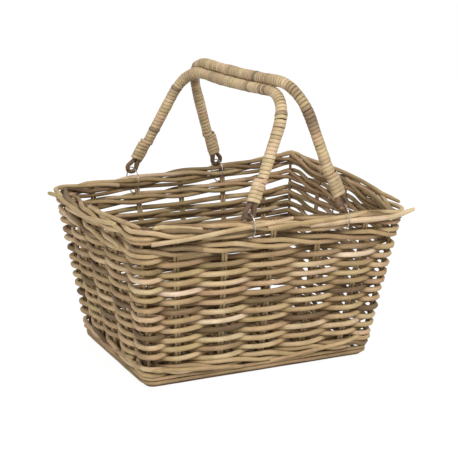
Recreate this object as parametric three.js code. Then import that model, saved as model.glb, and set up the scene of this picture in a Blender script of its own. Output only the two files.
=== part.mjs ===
import * as THREE from "three";

// A rattan picnic basket with two bail handles that swing on wire rings.
// Millimetres, +Z up. The origin is on the ground under the middle of the basket.

// Overall size, over the outside of the rods
const rimLength = 417;
const rimWidth = 358;
const baseLength = 358;
const baseWidth = 262;
const bodyHeight = 235.5;
const cornerRadius = 11;
const rimTwist = 7;
const peakLift = 9;
const endBulge = 9;
const endArch = 5;

// Rods
const stakeDiameter = 4.2;
const cornerStakeDiameter = 4.4;
const weaverDiameter = 6.5;
const borderDiameter = 6.5;
const baseWaleDiameter = 6.5;
const floorRodDiameter = 6;
const footDiameter = 5.2;
const rodGap = 0.35;
const bendAllowance = 0.9;
const floorBendAllowance = 1.3;
const ropeGap = 1;
const baseWaleLift = 2.5;

// Stakes: pairs of rods, evenly spaced. The outermost pair stands at a share of half the side.
const pairsPerLongSide = 5;
const pairsPerShortSide = 3;
const outermostOnLongSide = 0.74;
const outermostOnShortSide = 0.487;
const stakeBend = 4;
const stakeTopDepth = 2;

// Weave
const rodsPerWeaver = 3;
const rodsPerRope = 4;
const buttShare = 0.02;
const ringSlot = 3.6;
const ringSink = 0.15;
const floorPitch = 12;

// Bail handles
const eyeOutsidePair = 5.6;
const eyeInsidePair = 9.2;
const bailSkew = 20.2;
const bailOneHeight = 173;
const bailOneLean = 25.8;
const bailRestDirection = 57;
const bailOneShoulder = 141;
const bailTwoShoulder = 150;
const bailOneShift = -2;
const bailTwoShift = 2;
const bailBend = 60;
const bailSag = 5.5;
const caneDiameter = 11.6;
const bindingThickness = 1.9;
const eyeRiseOne = 11.8;
const eyeRiseTwo = 11.4;
const eyeHole = 8;
const eyeRodDiameter = 6.6;
const thinnedDiameter = 8.8;
const tailLength = 43;
const lashingStart = 14;
const lashingTurns = 6;
const lashingPitch = 5;
const lashingGap = 0.5;
const peelWidth = 4.2;
const peelThickness = 1.2;
const wireDiameter = 1.8;

// Corners of the sections
const rodSides = 5;
const footSides = 6;
const bailSides = 7;
const stepsPerTurn = 16;
const eyeSteps = 7;
const bendSteps = 5;
const barSteps = 3;
const wireSides = 5;
const ringSteps = 16;

// Shape of the eyes and lashings
const eyeWrap = 0.17;
const lashingFlatness = 2.6;
const caneTaper = 7;

const up = new THREE.Vector3(0, 0, 1);
const stakeRadius = stakeDiameter / 2;
const weaverRadius = weaverDiameter / 2;
const borderRadius = borderDiameter / 2;
const pairHalf = (stakeDiameter + rodGap) / 2;
const basket = new THREE.Group();

const rattan = new THREE.MeshStandardMaterial({ color: 0xb59a76, roughness: 0.62, metalness: 0 });
const darkRattan = new THREE.MeshStandardMaterial({ color: 0x8d7352, roughness: 0.68, metalness: 0 });
const greyRattan = new THREE.MeshStandardMaterial({ color: 0x9b9385, roughness: 0.75, metalness: 0 });
const peel = new THREE.MeshStandardMaterial({ color: 0xc4a06c, roughness: 0.45, metalness: 0 });
const wire = new THREE.MeshStandardMaterial({ color: 0x77736b, roughness: 0.4, metalness: 0.9 });

function add(name, geometry, material) {
  const mesh = new THREE.Mesh(geometry, material);
  mesh.name = name;
  basket.add(mesh);
  return mesh;
}

// The direction of a path at each of its points
function tangents(points) {
  return points.map((point, i) => {
    const back = point.clone().sub(points[Math.max(i - 1, 0)]).normalize();
    const ahead = points[Math.min(i + 1, points.length - 1)].clone().sub(point).normalize();
    return back.add(ahead).normalize();
  });
}

// Directions square to a path, kept as near as they can be to one fixed direction
function framesAbout(points, direction) {
  return tangents(points).map((tangent) => {
    const normal = direction.clone().addScaledVector(tangent, -direction.dot(tangent)).normalize();
    return { normal, side: tangent.clone().cross(normal) };
  });
}

// Directions square to a path, turned along with it so that they never spin
function framesAlong(points, direction) {
  let normal = direction.clone();
  return tangents(points).map((tangent) => {
    normal = normal.clone().addScaledVector(tangent, -normal.dot(tangent)).normalize();
    return { normal, side: tangent.clone().cross(normal) };
  });
}

// One ring of corners for each point of a path, as far along the frame's normal and side as given
function pathRings(points, frames, alongNormal, alongSide, corners, firstAngle) {
  return points.map((point, i) => {
    const ring = [];
    for (let k = 0; k < corners; k += 1) {
      const angle = firstAngle + (2 * Math.PI * k) / corners;
      const corner = point.clone();
      corner.addScaledVector(frames[i].normal, alongNormal[i] * Math.cos(angle));
      corner.addScaledVector(frames[i].side, alongSide[i] * Math.sin(angle));
      ring.push(corner);
    }
    return ring;
  });
}

// Joins rings into a skin. The rings turn right-handed about their path.
function skin(rings, faces) {
  const corners = rings[0].length;
  for (let i = 0; i + 1 < rings.length; i += 1) {
    for (let k = 0; k < corners; k += 1) {
      const a = i * corners + k;
      const b = i * corners + ((k + 1) % corners);
      faces.push(a, b, b + corners, a, b + corners, a + corners);
    }
  }
}

function solid(vertices, faces) {
  const geometry = new THREE.BufferGeometry();
  const numbers = vertices.flatMap((vertex) => [vertex.x, vertex.y, vertex.z]);
  geometry.setAttribute("position", new THREE.Float32BufferAttribute(numbers, 3));
  geometry.setIndex(faces);
  geometry.computeVertexNormals();
  return geometry;
}

// Rings closed with a flat end each
function closedRings(rings) {
  const corners = rings[0].length;
  const last = (rings.length - 1) * corners;
  const faces = [];
  skin(rings, faces);
  for (let k = 1; k + 1 < corners; k += 1) {
    faces.push(0, k + 1, k);
    faces.push(last, last + k, last + k + 1);
  }
  return solid(rings.flat(), faces);
}

// A rod. Its radius is one number, or one for each point.
function rod(points, radius, corners, frames) {
  const radii = Array.isArray(radius) ? radius : points.map(() => radius);
  return closedRings(pathRings(points, frames, radii, radii, corners, 0));
}

// A tube with an open bore
function sleeve(points, outerRadius, boreRadius, corners, frames) {
  const outerRadii = points.map(() => outerRadius);
  const boreRadii = points.map(() => boreRadius);
  const outer = pathRings(points, frames, outerRadii, outerRadii, corners, 0);
  const bore = pathRings(points, frames, boreRadii, boreRadii, corners, 0).reverse();
  const rings = [...outer, ...bore];
  const faces = [];
  skin([...rings, outer[0]], faces);
  return solid(rings.flat(), faces.map((corner) => corner % (rings.length * corners)));
}

// The stake line is where the stakes stand. The wall is woven to both sides of it.
const weaveReach = stakeRadius + weaverRadius + rodGap + bendAllowance;
const wallDepth = weaveReach + weaverRadius;

function halfSizes(z) {
  const rise = z / bodyHeight;
  return {
    length: THREE.MathUtils.lerp(baseLength, rimLength, rise) / 2 - wallDepth,
    width: THREE.MathUtils.lerp(baseWidth, rimWidth, rise) / 2 - wallDepth,
  };
}

// The warp of the rim, fading to nothing at the ground: two opposite corners stand higher than the
// other two and the back right one highest, both ends bulge outwards, and the right end arches upwards
function warp(point) {
  const half = halfSizes(point.z);
  const out = Math.max(Math.abs(point.x) / half.length, Math.abs(point.y) / half.width);
  const along = point.x / (half.length * out);
  const across = point.y / (half.width * out);
  const corner = along * across;
  const peak = along > 0 ? Math.max(0, corner) ** 3 : 0;
  const end = along * (1 - across ** 2);
  const rise = point.z / bodyHeight;
  const warped = point.clone();
  warped.x += endBulge * end * rise;
  warped.z += (rimTwist * corner + peakLift * peak + endArch * Math.max(0, end)) * rise;
  return warped;
}

// The four sides in order round the basket, each with its outward and its forward direction
const sides = [0, 1, 2, 3].map((quarter) => {
  const turn = (quarter * Math.PI) / 2;
  const isLong = quarter % 2 === 0;
  return {
    outward: new THREE.Vector3(Math.round(Math.sin(turn)), -Math.round(Math.cos(turn)), 0),
    forward: new THREE.Vector3(Math.round(Math.cos(turn)), Math.round(Math.sin(turn)), 0),
    alongHalf: (z) => (isLong ? halfSizes(z).length : halfSizes(z).width),
    outHalf: (z) => (isLong ? halfSizes(z).width : halfSizes(z).length),
    outermost: isLong ? outermostOnLongSide : outermostOnShortSide,
    pairs: isLong ? pairsPerLongSide : pairsPerShortSide,
  };
});

// How far a stake pair stands from the middle of its side. Pairs are counted from the middle.
function pairPlace(side, step, z) {
  return (side.alongHalf(z) * side.outermost * step) / ((side.pairs - 1) / 2);
}

// A point beside a stake pair of a side, out from the stake line and along the side
function sidePoint(side, step, z, out, along) {
  const point = new THREE.Vector3(0, 0, z);
  point.addScaledVector(side.outward, side.outHalf(z) + out);
  point.addScaledVector(side.forward, pairPlace(side, step, z) + along);
  return point;
}

// A point on the corner after a side, at a share of its quarter turn
function cornerPoint(side, share, z, out) {
  const angle = (share * Math.PI) / 2;
  const reach = cornerRadius + out;
  const point = new THREE.Vector3(0, 0, z);
  point.addScaledVector(side.outward, side.outHalf(z) - cornerRadius + reach * Math.cos(angle));
  point.addScaledVector(side.forward, side.alongHalf(z) - cornerRadius + reach * Math.sin(angle));
  return point;
}

// Posts go once round the basket. A whole number is a stake, and a share lies between two stakes.
const posts = [];
for (const side of sides) {
  const outermost = (side.pairs - 1) / 2;
  for (let step = -outermost; step <= outermost; step += 1) {
    posts.push({ isStake: true, place: (z, out) => sidePoint(side, step, z, out, 0) });
  }
  for (const share of [0, 0.5, 1]) {
    posts.push({ isStake: share === 0.5, place: (z, out) => cornerPoint(side, share, z, out) });
  }
}
const stations = posts.filter((post) => post.isStake).length;
let passed = -1;
for (const post of posts) {
  passed += post.isStake ? 1 : 0;
  post.station = passed;
}
posts.forEach((post, i) => {
  if (!post.isStake) {
    const here = post.place(bodyHeight, 0);
    const toBefore = here.distanceTo(posts[i - 1].place(bodyHeight, 0));
    const toAfter = here.distanceTo(posts[(i + 1) % posts.length].place(bodyHeight, 0));
    post.station += toBefore / (toBefore + toAfter);
  }
});

// A point on the wall at any station number
function wallPoint(station, z, out) {
  const lap = ((station % stations) + stations) % stations;
  let i = posts.length - 1;
  while (posts[i].station > lap) {
    i -= 1;
  }
  const next = i + 1 < posts.length ? posts[i + 1] : { ...posts[0], station: stations };
  const share = (lap - posts[i].station) / (next.station - posts[i].station);
  return warp(posts[i].place(z, out).lerp(next.place(z, out), share));
}

// A path round the wall. outAt and heightAt give the rod's place at each stake.
function wallPath(from, to, outAt, heightAt) {
  const between = (valueAt, station) => {
    const whole = Math.floor(station);
    return THREE.MathUtils.lerp(valueAt(whole), valueAt(whole + 1), station - whole);
  };
  const numbers = [from + buttShare];
  for (let lap = Math.floor(from / stations); lap * stations < to; lap += 1) {
    for (const post of posts) {
      const station = lap * stations + post.station;
      if (station > from + 2 * buttShare && station < to - 2 * buttShare) {
        numbers.push(station);
      }
    }
  }
  numbers.push(to - buttShare);
  return numbers.map((station) => wallPoint(station, between(heightAt, station), between(outAt, station)));
}

function wallRod(name, path, diameter, material) {
  add(name, rod(path, diameter / 2, rodSides, framesAbout(path, up)), material);
}

// Heights, from the ground up
const footHeight = footDiameter * Math.cos(Math.PI / footSides);
const crossRunHeight = footHeight + rodGap + stakeRadius;
const lengthRunHeight = crossRunHeight + stakeDiameter + rodGap;

// A rope of four rods round the stakes: outside high, outside low, inside low, inside high
function ropeRise(diameter, reach) {
  const apart = diameter + ropeGap;
  return (apart * reach) / Math.sqrt(4 * reach * reach - apart * apart);
}

function addRope(title, middle, diameter, material) {
  const reach = diameter / 2 + stakeRadius + rodGap + bendAllowance;
  const rise = ropeRise(diameter, reach);
  for (let lead = 0; lead < rodsPerRope; lead += 1) {
    const place = (station) => (((station + lead) % rodsPerRope) + rodsPerRope) % rodsPerRope;
    const outAt = (station) => (place(station) < rodsPerRope / 2 ? reach : -reach);
    const isHigh = (station) => place(station) === 0 || place(station) === rodsPerRope - 1;
    const heightAt = (station) => middle + (isHigh(station) ? rise : -rise);
    const from = rodsPerRope / 2 - lead + rodsPerRope;
    wallRod(`${title}_${lead + 1}`, wallPath(from, from + stations, outAt, heightAt), diameter, material);
  }
}

function ropeHalfHeight(diameter) {
  const reach = diameter / 2 + stakeRadius + rodGap + bendAllowance;
  return ropeRise(diameter, reach) + diameter / 2;
}

const baseWaleBottom = lengthRunHeight + stakeRadius + rodGap + baseWaleLift;
const baseWaleMiddle = baseWaleBottom + ropeHalfHeight(baseWaleDiameter);
const weaveBottom = baseWaleMiddle + ropeHalfHeight(baseWaleDiameter) + rodGap;
const borderMiddle = bodyHeight - ropeHalfHeight(borderDiameter);
const singleHeight = borderMiddle - ropeHalfHeight(borderDiameter) - rodGap - borderRadius;
const slotHeight = singleHeight - borderRadius - ringSlot / 2;
const lowerWaleMiddle = slotHeight - ringSlot / 2 - ropeHalfHeight(borderDiameter);
const weaveTop = lowerWaleMiddle - ropeHalfHeight(borderDiameter) - rodGap;
const stakeTop = bodyHeight - stakeTopDepth;

// Foot: one rod on the ground, with a flat underside
const footPath = [];
posts.forEach((post) => footPath.push(post.place(footHeight / 2, 0)));
footPath.push(footPath[0].clone().lerp(footPath[1], -buttShare));
footPath[0] = footPath[0].clone().lerp(footPath[1], buttShare);
const footRadii = footPath.map(() => footDiameter / 2);
const footFrames = framesAbout(footPath, up);
const footRings = pathRings(footPath, footFrames, footRadii, footRadii, footSides, Math.PI / footSides);
add("foot_rod", closedRings(footRings), greyRattan);

// Stakes: each rod of a pair goes down one wall, along under the floor and up the opposite wall
function stakePath(side, opposite, step, along, runHeight) {
  const halfPath = (wall, sign) => {
    const top = warp(sidePoint(wall, sign * step, stakeTop, 0, sign * along));
    const bend = sidePoint(wall, sign * step, runHeight, 0, sign * along);
    const rising = bend.clone().addScaledVector(top.clone().sub(bend).normalize(), stakeBend);
    const running = bend.clone().addScaledVector(wall.outward, -stakeBend);
    const middle = rising.clone().lerp(running, 0.5).lerp(bend, 0.5);
    return [top, rising, middle, running];
  };
  return [...halfPath(side, 1), ...halfPath(opposite, -1).reverse()];
}

function addStakes(title, side, opposite, runHeight) {
  const outermost = (side.pairs - 1) / 2;
  for (let step = -outermost; step <= outermost; step += 1) {
    for (const [letter, along] of [["a", -pairHalf], ["b", pairHalf]]) {
      const path = stakePath(side, opposite, step, along, runHeight);
      const name = `${title}_${step + outermost + 1}_${letter}`;
      add(name, rod(path, stakeRadius, rodSides, framesAbout(path, side.forward)), darkRattan);
    }
  }
}

addStakes("cross_stake", sides[0], sides[2], crossRunHeight);
addStakes("length_stake", sides[3], sides[1], lengthRunHeight);
const cornerNames = ["front_right", "back_right", "back_left", "front_left"];
sides.forEach((side, i) => {
  const bottom = cornerPoint(side, 0.5, footHeight + rodGap, 0);
  const top = warp(cornerPoint(side, 0.5, stakeTop, 0));
  const frames = framesAbout([bottom, top], side.outward);
  const stake = rod([bottom, top], cornerStakeDiameter / 2, rodSides, frames);
  add(`corner_stake_${cornerNames[i]}`, stake, darkRattan);
});

// Two plain rods close the foot of the wall, outside the bends of the stakes
const bandHeight = baseWaleBottom - footHeight;
const bandDiameter = (bandHeight - 3 * rodGap) / 2;
const bandReach = (cornerStakeDiameter + bandDiameter) / 2 + rodGap;
const bandLower = footHeight + rodGap + bandDiameter / 2;
const bandUpper = bandLower + bandDiameter + rodGap;
wallRod("foot_band_lower", wallPath(0, stations, () => bandReach, () => bandLower), bandDiameter, rattan);
wallRod("foot_band_upper", wallPath(0, stations, () => bandReach, () => bandUpper), bandDiameter, rattan);

// Base wale
addRope("base_wale", baseWaleMiddle, baseWaleDiameter, rattan);

// Side weave: two weavers chase each other, half a turn and one row apart
const lowestRow = weaveBottom + weaverRadius;
const highestRow = weaveTop - weaverRadius;
const turns = Math.floor((highestRow - lowestRow) / (2 * (weaverDiameter + rodGap)));
const risePerTurn = (highestRow - lowestRow) / turns;
const storeys = ["lower", "middle", "upper"];

function addWeaver(title, first, last, zeroStation, insideParity) {
  const outAt = (station) => (Math.abs(station) % 2 === insideParity ? -weaveReach : weaveReach);
  const heightAt = (station) => lowestRow + (risePerTurn * (station - zeroStation)) / stations;
  const joints = [first];
  for (let i = 1; i < rodsPerWeaver; i += 1) {
    joints.push(first + 2 * Math.round(((last - first) * i) / (2 * rodsPerWeaver)));
  }
  joints.push(last);
  for (let i = 0; i < rodsPerWeaver; i += 1) {
    const path = wallPath(joints[i], joints[i + 1], outAt, heightAt);
    wallRod(`${title}_${storeys[i]}`, path, weaverDiameter, rattan);
  }
}

const half = stations / 2;
addWeaver("weaver_a", 0, turns * stations, 0, 0);
addWeaver("weaver_b", half + 1, turns * stations + half - 1, half, 1);

// Border: a rope of four rods, a slot for the wire rings, one single rod and a second rope on top
addRope("lower_wale", lowerWaleMiddle, borderDiameter, rattan);
const singleOut = (station) => (Math.abs(station) % 2 === 0 ? -weaveReach : weaveReach);
wallRod("border_under_rod", wallPath(0, stations, singleOut, () => singleHeight), borderDiameter, rattan);
addRope("border_rod", borderMiddle, borderDiameter, rattan);

// Floor: a long stick each side, and rods that go back and forth over and under the length stakes
const floorRadius = floorRodDiameter / 2;
const baseWaleReach = baseWaleDiameter + stakeRadius + rodGap + bendAllowance;
const floorEdge = baseWaleReach + rodGap + floorRadius;
const turnReach = floorRadius + stakeRadius + rodGap;
const stickY = halfSizes(0).width - floorEdge - turnReach;
const lastPass = halfSizes(0).length - floorEdge;
const floorLift = stakeRadius + floorRadius + rodGap + floorBendAllowance;
const stickNames = ["floor_stick_front", "floor_stick_back"];
[-stickY, stickY].forEach((y, i) => {
  const ends = [-1, 1].map((sign) => new THREE.Vector3(sign * (lastPass + floorRadius), y, lengthRunHeight));
  add(stickNames[i], rod(ends, stakeRadius, rodSides, framesAbout(ends, up)), darkRattan);
});

const passes = [];
const pairClear = pairHalf + stakeRadius + rodGap + floorRadius;
const outerPair = (pairsPerLongSide - 1) / 2;
const pairX = (step) => pairPlace(sides[0], step, crossRunHeight);
const bays = [[-lastPass, pairX(-outerPair) - pairClear]];
for (let step = -outerPair; step < outerPair; step += 1) {
  bays.push([pairX(step) + pairClear, pairX(step + 1) - pairClear]);
}
bays.push([pairX(outerPair) + pairClear, lastPass]);
for (const [from, to] of bays) {
  const gaps = Math.floor((to - from) / floorPitch);
  for (let i = 0; i <= gaps; i += 1) {
    passes.push(from + ((to - from) * i) / gaps);
  }
}

const shortOuter = (pairsPerShortSide - 1) / 2;
const crossings = [-stickY];
for (let step = -shortOuter; step <= shortOuter; step += 1) {
  crossings.push(pairPlace(sides[1], step, lengthRunHeight));
}
crossings.push(stickY);

function floorPath(first, last) {
  const path = [];
  for (let i = first; i <= last; i += 1) {
    const forth = i % 2 === 0;
    const ordered = forth ? crossings : [...crossings].reverse();
    ordered.forEach((y, k) => {
      const over = k % 2 === 1;
      const lift = over === forth ? floorLift : -floorLift;
      path.push(new THREE.Vector3(passes[i], y, lengthRunHeight + lift));
    });
    if (i < last) {
      const turnY = (forth ? 1 : -1) * (stickY + turnReach);
      const endsOver = path.at(-1).z > lengthRunHeight;
      const spots = [[i, 1], [i + 1, 1]];
      spots.splice(endsOver ? 2 : 0, 0, [endsOver ? i + 1 : i, -1]);
      for (const [pass, level] of spots) {
        path.push(new THREE.Vector3(passes[pass], turnY, lengthRunHeight + level * floorRadius));
      }
    }
  }
  return path;
}

const floorNames = ["floor_weaver_1", "floor_weaver_2", "floor_weaver_3", "floor_weaver_4"];
floorNames.forEach((name, i) => {
  const first = Math.round((passes.length * i) / floorNames.length);
  const last = Math.round((passes.length * (i + 1)) / floorNames.length) - 1;
  const path = floorPath(first, last);
  add(name, rod(path, floorRadius, rodSides, framesAlong(path, sides[1].outward)), rattan);
});

// Bails. Each turns about the line between its two eyes, and each eye stands on the border.
const bindingStart = lashingStart + lashingPitch * lashingTurns + peelWidth / 2 + rodGap;
const bindingRadius = caneDiameter / 2 + rodGap + bindingThickness;
const legOffset = (thinnedDiameter + eyeRodDiameter + 2 * rodGap) / 4;

// The back eyes stand beside the stake pairs next to the middle one, outside the left and inside the right
const pairAtRim = pairPlace(sides[0], 1, bodyHeight);
const bailOneMiddle = bailSkew - pairAtRim - eyeOutsidePair;
const bailTwoMiddle = bailSkew + pairAtRim - eyeInsidePair;

function hingePoint(x, sign, eyeRise) {
  return new THREE.Vector3(x, sign * halfSizes(bodyHeight).width, bodyHeight + eyeRise);
}

// One bail's own directions: v from the back eye to the front eye, u up its legs, w across its plane
function bailFrame(middleX, eyeRise, inwardSign, lean, shoulder, shift) {
  const back = hingePoint(middleX - bailSkew, 1, eyeRise);
  const front = hingePoint(middleX + bailSkew, -1, eyeRise);
  const v = front.clone().sub(back).normalize();
  const inward = v.clone().cross(up).multiplyScalar(-inwardSign).normalize();
  const u = up.clone().multiplyScalar(Math.cos(lean)).addScaledVector(inward, Math.sin(lean));
  const w = inward.clone().multiplyScalar(Math.cos(lean)).addScaledVector(up, -Math.sin(lean));
  const origin = back.clone().add(front).multiplyScalar(0.5);
  return { back, front, v, u, w, shoulder, shift, origin };
}

function inBail(frame, w, v, u) {
  const point = frame.origin.clone().addScaledVector(frame.w, w);
  return point.addScaledVector(frame.v, v).addScaledVector(frame.u, u);
}

// How far along v the bar sits: nearly over the middle of the basket
function barShift(frame, height) {
  return frame.shift - (height * frame.u.y) / frame.v.y;
}

// One half of a bail's middle line, on a side of its plane: leg, bend and half of the bar
function bailHalf(frame, height, legStart, sign) {
  const shift = sign * barShift(frame, height);
  const foot = frame.back.distanceTo(frame.front) / 2;
  const corner = new THREE.Vector2(frame.shoulder + shift, height);
  const legWay = new THREE.Vector2(foot, 0).sub(corner).normalize();
  const barWay = new THREE.Vector2(-1, 0);
  const opening = Math.acos(legWay.dot(barWay));
  const cut = bailBend / Math.tan(opening / 2);
  const middleWay = legWay.clone().add(barWay).normalize();
  const centre = corner.clone().addScaledVector(middleWay, bailBend / Math.sin(opening / 2));
  const legEnd = corner.clone().addScaledVector(legWay, cut);
  const barEnd = corner.clone().addScaledVector(barWay, cut);
  const from = Math.atan2(legEnd.y - centre.y, legEnd.x - centre.x);
  const to = Math.atan2(barEnd.y - centre.y, barEnd.x - centre.x);
  const half = [new THREE.Vector2(foot, 0).addScaledVector(legWay, -legStart)];
  for (let i = 0; i <= bendSteps; i += 1) {
    const angle = THREE.MathUtils.lerp(from, to, i / bendSteps);
    const spot = new THREE.Vector2(Math.cos(angle), Math.sin(angle)).multiplyScalar(bailBend);
    half.push(spot.add(centre));
  }
  for (let i = 1; i < barSteps; i += 1) {
    half.push(new THREE.Vector2(THREE.MathUtils.lerp(barEnd.x, shift, i / barSteps), height));
  }
  return half.map((p) => {
    const sag = bailSag * Math.max(0, 1 - ((p.x - shift) / frame.shoulder) ** 2);
    return inBail(frame, legOffset, sign * p.x, p.y - sag);
  });
}

// The middle line of a bail from the back leg to the front leg, starting a given way up the legs
function bailLine(frame, height, legStart) {
  const middle = inBail(frame, legOffset, barShift(frame, height), height - bailSag);
  const frontHalf = bailHalf(frame, height, legStart, 1).reverse();
  return [...bailHalf(frame, height, legStart, -1), middle, ...frontHalf];
}

// One end of the cane: the tail, the eye round the ring, and the start of the leg
function bailEnd(frame, height, sign) {
  const foot = frame.back.distanceTo(frame.front) / 2;
  const hinge = inBail(frame, 0, sign * foot, 0);
  const shoulder = sign * frame.shoulder + barShift(frame, height);
  const leg = inBail(frame, 0, shoulder, height).sub(hinge).normalize();
  const place = (w, rise) => hinge.clone().addScaledVector(frame.w, w).addScaledVector(leg, rise);
  const eyeRadius = (eyeHole + eyeRodDiameter) / 2;
  const tailRadius = eyeRodDiameter / 2;
  const neck = lashingStart - peelWidth / 2;
  const points = [place(-legOffset, tailLength), place(-legOffset, neck)];
  for (let i = 0; i <= eyeSteps; i += 1) {
    const angle = Math.PI - eyeWrap + ((Math.PI + 2 * eyeWrap) * i) / eyeSteps;
    points.push(place(eyeRadius * Math.cos(angle), eyeRadius * Math.sin(angle)));
  }
  const radii = points.map(() => tailRadius);
  points.push(place(legOffset, neck), place(legOffset, bindingStart - rodGap));
  radii.push(thinnedDiameter / 2, thinnedDiameter / 2);
  return { points, radii, hinge, leg };
}

// A lashing of flat peel, wound round a leg and its tail in one helix with straight ends
function lashing(frame, end) {
  const across = end.leg.clone().cross(frame.w).normalize();
  const reach = thinnedDiameter / 2 + lashingGap + peelThickness / 2;
  const steps = lashingTurns * stepsPerTurn;
  const points = [];
  for (let i = -1; i <= steps + 1; i += 1) {
    const angle = (2 * Math.PI * THREE.MathUtils.clamp(i, 0, steps)) / stepsPerTurn;
    const straight = (i - THREE.MathUtils.clamp(i, 0, steps)) * peelWidth;
    const flat = legOffset * THREE.MathUtils.clamp(lashingFlatness * Math.cos(angle), -1, 1);
    const point = end.hinge.clone().addScaledVector(frame.w, reach * Math.cos(angle) + flat);
    point.addScaledVector(across, reach * Math.sin(angle) + straight);
    points.push(point.addScaledVector(end.leg, lashingStart + (lashingPitch * angle) / (2 * Math.PI)));
  }
  const halfWidths = points.map(() => (peelWidth / 2) * Math.SQRT2);
  const halfThicknesses = points.map(() => (peelThickness / 2) * Math.SQRT2);
  const frames = framesAbout(points, end.leg);
  return pathRings(points, frames, halfWidths, halfThicknesses, 4, Math.PI / 4);
}

// The least gap between one turn of a winding and any later one
function leastSelfGap(rings) {
  let least = Infinity;
  for (let i = 0; i < rings.length; i += 1) {
    for (let j = i + stepsPerTurn / 2; j < rings.length; j += 1) {
      for (const corner of rings[i]) {
        for (const other of rings[j]) {
          least = Math.min(least, corner.distanceTo(other));
        }
      }
    }
  }
  return least;
}

// The second bail rests on the first: its bar lies one thickness away, in a given direction
function restingBail() {
  const cosSkew = halfSizes(bodyHeight).width / (frameOne.back.distanceTo(frameOne.front) / 2);
  const lean = THREE.MathUtils.degToRad(bailOneLean);
  const rest = THREE.MathUtils.degToRad(bailRestDirection);
  const barHeight = bailOneHeight - bailSag;
  const apart = 2 * bindingRadius + rodGap;
  const between = (bailTwoMiddle - bailOneMiddle) * cosSkew;
  const across = barHeight * Math.sin(lean) + legOffset * Math.cos(lean) + apart * Math.cos(rest);
  const rise = barHeight * Math.cos(lean) - legOffset * Math.sin(lean) + apart * Math.sin(rest);
  const toSecond = new THREE.Vector2(between - across, rise + eyeRiseOne - eyeRiseTwo);
  const reach = Math.sqrt(toSecond.lengthSq() - legOffset * legOffset);
  return {
    height: reach + bailSag,
    lean: Math.atan2(toSecond.x, toSecond.y) - Math.atan2(legOffset, reach),
  };
}

// A wire ring through an eye and through the slot under the border
function addRing(name, frame, hinge) {
  const side = Math.sign(hinge.y);
  const reach = (side * halfSizes(slotHeight).width - hinge.y) / frame.v.y;
  const inSlot = hinge.clone().addScaledVector(frame.v, reach);
  inSlot.z = slotHeight - ringSlot / 2 - ringSink + wireDiameter / 2;
  const low = warp(inSlot);
  const rising = hinge.clone().sub(low).normalize();
  const normal = rising.clone().cross(frame.v).normalize();
  const turned = new THREE.Matrix4().makeBasis(rising, normal.clone().cross(rising), normal);
  const radius = hinge.distanceTo(low) / 2;
  const mesh = add(name, new THREE.TorusGeometry(radius, wireDiameter / 2, wireSides, ringSteps), wire);
  mesh.quaternion.setFromRotationMatrix(turned);
  mesh.position.copy(low.lerp(hinge, 0.5));
}

const firstLean = THREE.MathUtils.degToRad(bailOneLean);
const frameOne = bailFrame(bailOneMiddle, eyeRiseOne, 1, firstLean, bailOneShoulder, bailOneShift);
const second = restingBail();
const frameTwo = bailFrame(bailTwoMiddle, eyeRiseTwo, -1, second.lean, bailTwoShoulder, bailTwoShift);

function addBail(title, frame, height) {
  const ends = { back: bailEnd(frame, height, -1), front: bailEnd(frame, height, 1) };
  const line = bailLine(frame, height, bindingStart + caneTaper);
  const points = [...ends.back.points, ...line, ...ends.front.points.reverse()];
  const thick = line.map(() => caneDiameter / 2);
  const radii = [...ends.back.radii, ...thick, ...ends.front.radii.reverse()];
  const frames = framesAlong(points, frame.w.clone().negate());
  add(`${title}_cane`, rod(points, radii, bailSides, frames), darkRattan);
  const bound = bailLine(frame, height, bindingStart);
  const boreRadius = caneDiameter / 2 + rodGap;
  const tube = sleeve(bound, bindingRadius, boreRadius, bailSides, framesAlong(bound, frame.w));
  add(`${title}_binding`, tube, peel);
  for (const [place, end] of Object.entries(ends)) {
    const rings = lashing(frame, end);
    console.log(`${title} ${place} lashing, least gap to itself in mm:`, leastSelfGap(rings).toFixed(2));
    add(`${title}_${place}_lashing`, closedRings(rings), peel);
    addRing(`${title}_${place}_ring`, frame, end.hinge);
  }
}

addBail("bail_1", frameOne, bailOneHeight);
addBail("bail_2", frameTwo, second.height);

export default basket;
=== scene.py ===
import math
import re

import bpy
import numpy as np
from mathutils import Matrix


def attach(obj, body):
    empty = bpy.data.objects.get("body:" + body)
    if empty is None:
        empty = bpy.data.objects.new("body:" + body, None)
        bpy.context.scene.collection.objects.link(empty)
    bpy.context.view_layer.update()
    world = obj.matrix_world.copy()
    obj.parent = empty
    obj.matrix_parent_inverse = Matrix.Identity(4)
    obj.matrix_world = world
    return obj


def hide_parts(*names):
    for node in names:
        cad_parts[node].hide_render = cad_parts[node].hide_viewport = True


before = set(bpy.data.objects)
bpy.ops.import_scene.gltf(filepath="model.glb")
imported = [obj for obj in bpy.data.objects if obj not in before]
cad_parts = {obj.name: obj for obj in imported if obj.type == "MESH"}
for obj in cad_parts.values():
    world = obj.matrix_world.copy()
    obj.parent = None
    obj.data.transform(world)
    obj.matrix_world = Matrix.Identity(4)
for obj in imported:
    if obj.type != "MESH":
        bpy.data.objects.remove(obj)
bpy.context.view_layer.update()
scene = bpy.context.scene
print("frame loaded:", len(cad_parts), "nodes")


# Stands a camera or lamp off from a point and turns it there; azimuth 0 is the front, 90 the right end
def standOff(name, data, aim, azimuth, elevation, distance):
    turn, lift = math.radians(azimuth), math.radians(elevation)
    back = np.array([math.sin(turn) * math.cos(lift), -math.cos(turn) * math.cos(lift), math.sin(lift)])
    item = bpy.data.objects.new(name, data)
    item.location = np.array(aim) + back * distance
    item.rotation_euler = (math.pi / 2 - lift, 0, turn)
    scene.collection.objects.link(item)
    return item


# Camera, at the photograph's angle: degrees, metres, and millimetres for the lens and the sensor
cameraSettings = {
    "azimuth": -24.7, "elevation": 14.8, "distance": 2.1246, "aim": (0.00835, -0.001, 0.1794),
    "lens": 112.7, "sensor": 36, "clip": (0.05, 50),
}


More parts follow.
